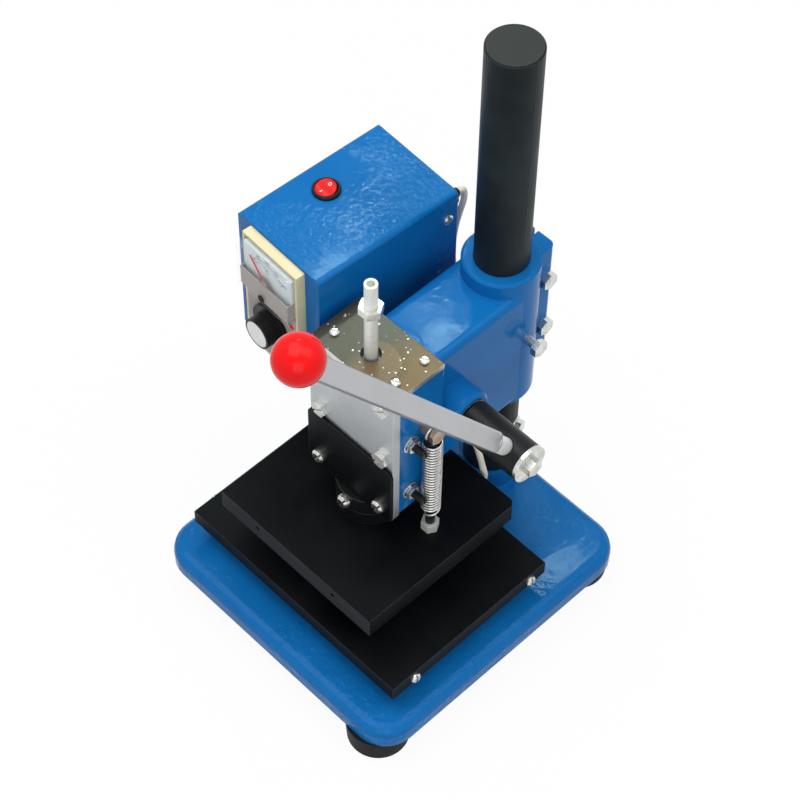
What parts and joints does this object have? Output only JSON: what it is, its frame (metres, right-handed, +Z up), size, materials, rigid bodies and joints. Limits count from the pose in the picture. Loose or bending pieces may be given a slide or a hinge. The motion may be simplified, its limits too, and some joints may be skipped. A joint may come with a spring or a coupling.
{
  "type": "hot foil stamping machine",
  "caption": "Bench-top hot foil stamping press with a rack-and-pinion lever, heated upper plate, fixed work plate, column stand and a side control box.",
  "frame": {"origin": "middle of the bounding box in plan, on the floor under the rubber feet", "axes": "+X to the machine's right (the lever's side), +Y to its back (the column's side), +Z up"},
  "size_m": [0.217, 0.265, 0.4207],
  "materials": {
    "blue_paint": "gloss, slightly pebbled",
    "black_steel": "satin black oxide",
    "bright_steel": "ground, lightly stained",
    "zinc": "zinc plated",
    "cast_grey": "machined grey",
    "bronze": "plain bronze",
    "rubber": "matt",
    "red_plastic": "gloss",
    "black_plastic": "satin",
    "cream_plastic": "satin",
    "grey_plastic": "satin",
    "white_card": "matt",
    "clear_plastic": "clear",
    "insulation": "matt board",
    "lead_cream": "braided sleeve"
  },
  "bodies": {
    "base": {"base_casting": "blue_paint", "rubber_feet": "rubber", "foot_screws": "zinc", "column": "black_steel", "column_nut": "zinc", "column_stop_bolt": "zinc", "work_plate": "black_steel", "work_plate_bolts": "zinc", "plate_side_screws": "zinc"},
    "head": {"head_casting": "blue_paint", "clamp_bolts": "zinc", "set_bolt": "zinc", "top_plate": "bright_steel", "top_plate_screws": "zinc", "front_plate": "bright_steel", "front_plate_bolts": "zinc", "guard_plate": "black_steel", "guard_screws": "zinc", "gib_strip": "bronze", "gib_screws": "black_steel", "gib_lock_nuts": "zinc", "shaft_bushes": "bronze", "spring_stud": "bronze", "return_spring": "bright_steel", "box_spacers": "black_steel", "box_bolts": "zinc", "box_chassis": "blue_paint", "box_cover": "blue_paint", "box_screws": "zinc", "controller_case": "black_plastic", "controller_bezel": "cream_plastic", "controller_panel": "grey_plastic", "meter_window": "clear_plastic", "dial_plate": "white_card", "switch_body": "black_plastic", "lead_gland": "black_plastic", "mains_gland": "black_plastic", "heater_lead": "lead_cream"},
    "ram": {"ram_bar": "cast_grey", "stop_rod": "zinc", "plate_collar": "black_steel", "collar_screw": "zinc", "insulator": "insulation", "heating_plate": "black_steel", "heater_cartridges": "bright_steel", "spring_post": "black_steel", "post_nut": "zinc"},
    "lever": {"pinion_shaft": "black_steel", "pinion_gear": "cast_grey", "lever_hub": "black_steel", "hub_washer": "zinc", "hub_bolt": "zinc", "lever_bar": "bright_steel", "ball_knob": "red_plastic"},
    "stop_nut": {"stop_nut": "zinc"},
    "switch_rocker": {"rocker": "red_plastic"},
    "knob": {"temperature_knob": "black_plastic"},
    "needle": {"meter_needle": "red_plastic"}
  },
  "joints": [
    {"name": "head_height", "type": "slide", "parent": "base", "child": "head", "axis": [0, 0, 1], "range_m": [0, 0.12]},
    {"name": "ram_slide", "type": "slide", "parent": "head", "child": "ram", "axis": [0, 0, -1], "range_m": [0, 0.0275], "stiffness_N_per_m": 1500, "springref_m": -0.04, "deforming": ["return_spring", "heater_lead"]},
    {"name": "lever_turn", "type": "hinge", "parent": "head", "child": "lever", "pos_m": [0.00545, 0.03988, 0.182], "axis": [1, 0, 0], "range_deg": [0, 72.44]},
    {"name": "stop_nut_height", "type": "slide", "parent": "ram", "child": "stop_nut", "axis": [0, 0, 1], "range_m": [-0.009, 0.012]},
    {"name": "power_rocker", "type": "hinge", "parent": "head", "child": "switch_rocker", "pos_m": [-0.08492, 0.04871, 0.2662], "axis": [0.9986, -0.0523, 0], "range_deg": [-16, 0]},
    {"name": "temperature_turn", "type": "hinge", "parent": "head", "child": "knob", "pos_m": [-0.07313, -0.01299, 0.2027], "axis": [-0.0523, -0.9986, 0], "range_deg": [-270, 0]},
    {"name": "needle_swing", "type": "hinge", "parent": "head", "child": "needle", "pos_m": [-0.07301, -0.01079, 0.2394], "axis": [0.0523, 0.9986, 0], "range_deg": [0, 80], "stiffness_Nm_per_rad": 0.001}
  ],
  "couplings": [
    {"joint": "ram_slide", "follows": "lever_turn", "m_per_rad": 0.02175}
  ]
}
